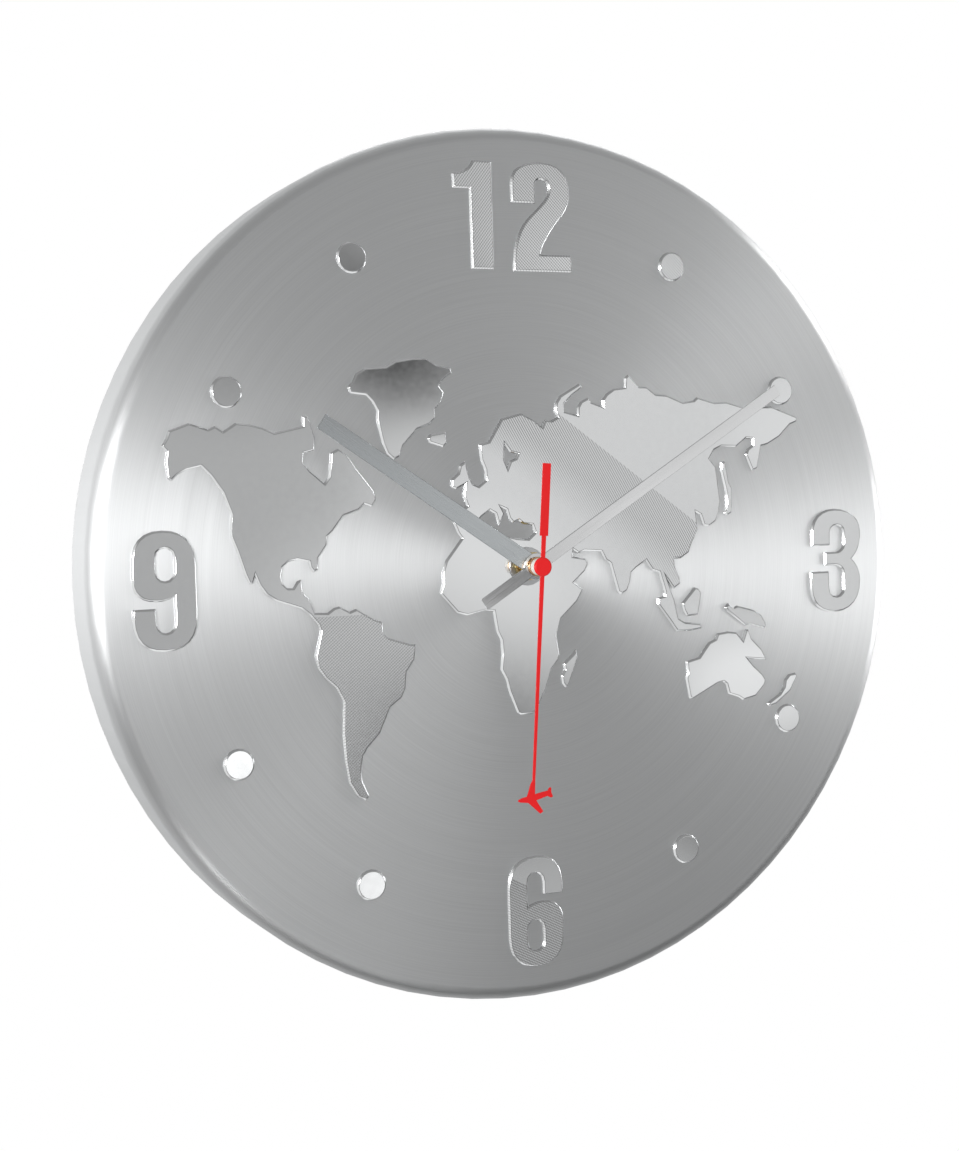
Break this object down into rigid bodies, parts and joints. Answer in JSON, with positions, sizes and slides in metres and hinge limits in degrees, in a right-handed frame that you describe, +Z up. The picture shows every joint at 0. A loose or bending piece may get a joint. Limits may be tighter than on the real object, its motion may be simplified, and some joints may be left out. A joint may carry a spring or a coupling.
{
  "type": "wall clock",
  "caption": "Round brushed aluminium wall clock: raised polished world map, numerals and dots, hour, minute and red seconds hands, and a quartz movement with its wheel train behind the dial.",
  "frame": {"origin": "in the plane of the wall, where the nail that carries the clock meets it, above the middle of the dial", "axes": "+Z up, +X to the right of someone who reads the clock, +Y into the wall; the dial looks along -Y"},
  "size_m": [0.353, 0.048, 0.353],
  "materials": {
    "brushed_aluminium": "brushed in fine circles",
    "polished_aluminium": "mirror polished",
    "satin_aluminium": "satin",
    "red_paint": "semi-gloss paint",
    "white_plastic": "moulded",
    "black_plastic": "moulded",
    "brass": "turned",
    "copper_bush": "turned",
    "copper_wire": "enamelled wire",
    "polished_steel": "polished",
    "spring_steel": "plated",
    "motor_steel": "bright",
    "motor_magnet": "sintered",
    "black_rubber": "matt",
    "battery_jacket": "printed steel can, left plain",
    "green_laminate": "lacquered laminate"
  },
  "bodies": {
    "clock": {"dial_dish": "brushed_aluminium", "map_americas": "polished_aluminium", "map_greenland": "polished_aluminium", "map_iceland": "polished_aluminium", "map_eurasia_and_africa": "polished_aluminium", "map_madagascar": "polished_aluminium", "map_australia": "polished_aluminium", "map_new_guinea": "polished_aluminium", "map_borneo": "polished_aluminium", "map_new_zealand": "polished_aluminium", "map_japan": "polished_aluminium", "numeral_12_one": "polished_aluminium", "numeral_12_two": "polished_aluminium", "numeral_3": "polished_aluminium", "numeral_6": "polished_aluminium", "numeral_9": "polished_aluminium", "hour_dot_1": "polished_aluminium", "hour_dot_2": "polished_aluminium", "hour_dot_4": "polished_aluminium", "hour_dot_5": "polished_aluminium", "hour_dot_7": "polished_aluminium", "hour_dot_8": "polished_aluminium", "hour_dot_10": "polished_aluminium", "hour_dot_11": "polished_aluminium", "threaded_bushing": "brass", "fixing_nut": "brass", "fixing_washer": "polished_steel", "rubber_gasket": "black_rubber", "front_case": "black_plastic", "back_cover": "black_plastic", "battery_aa": "battery_jacket", "contact_positive": "spring_steel", "contact_negative": "spring_steel", "circuit_board": "green_laminate", "quartz_crystal": "spring_steel", "driver_chip": "black_plastic", "motor_stator": "motor_steel", "coil_core": "motor_steel", "coil_bobbin": "white_plastic", "coil_winding": "copper_wire"},
    "seconds": {"seconds_hand": "red_paint", "seconds_hand_sleeve": "white_plastic", "seconds_wheel": "motor_steel"},
    "intermediate": {"intermediate_wheel": "white_plastic"},
    "rotor": {"motor_rotor": "motor_magnet"},
    "third": {"third_wheel": "white_plastic"},
    "centre": {"centre_wheel": "white_plastic"},
    "minute": {"minute_hand": "satin_aluminium", "minute_hand_bush": "copper_bush", "cannon_pinion": "brass"},
    "motion": {"motion_wheel": "white_plastic", "setting_knob": "black_plastic"},
    "hour": {"hour_hand": "satin_aluminium", "hour_wheel": "brass"}
  },
  "joints": [
    {"name": "seconds_turn", "type": "hinge", "parent": "clock", "child": "seconds", "pos_m": [0, -0.04, -0.038], "axis": [0, 1, 0], "continuous": true},
    {"name": "intermediate_turn", "type": "hinge", "parent": "clock", "child": "intermediate", "pos_m": [-0.0015, -0.018, -0.02949], "axis": [0, 1, 0], "continuous": true},
    {"name": "rotor_turn", "type": "hinge", "parent": "clock", "child": "rotor", "pos_m": [0.0039, -0.018, -0.02306], "axis": [0, 1, 0], "continuous": true},
    {"name": "third_turn", "type": "hinge", "parent": "clock", "child": "third", "pos_m": [0.01219, -0.021, -0.03693], "axis": [0, 1, 0], "continuous": true},
    {"name": "centre_turn", "type": "hinge", "parent": "clock", "child": "centre", "pos_m": [0, -0.023, -0.038], "axis": [0, 1, 0], "continuous": true},
    {"name": "minute_turn", "type": "hinge", "parent": "clock", "child": "minute", "pos_m": [0, -0.04, -0.038], "axis": [0, 1, 0], "continuous": true},
    {"name": "motion_turn", "type": "hinge", "parent": "clock", "child": "motion", "pos_m": [-0.01272, -0.024, -0.038], "axis": [0, 1, 0], "continuous": true},
    {"name": "hour_turn", "type": "hinge", "parent": "clock", "child": "hour", "pos_m": [0, -0.038, -0.038], "axis": [0, 1, 0], "continuous": true}
  ],
  "couplings": [
    {"joint": "intermediate_turn", "follows": "seconds_turn", "ratio": -5},
    {"joint": "rotor_turn", "follows": "seconds_turn", "ratio": 30},
    {"joint": "third_turn", "follows": "seconds_turn", "ratio": -0.13333},
    {"joint": "centre_turn", "follows": "seconds_turn", "ratio": 0.016667},
    {"joint": "motion_turn", "follows": "minute_turn", "ratio": -0.33333},
    {"joint": "hour_turn", "follows": "minute_turn", "ratio": 0.083333}
  ]
}
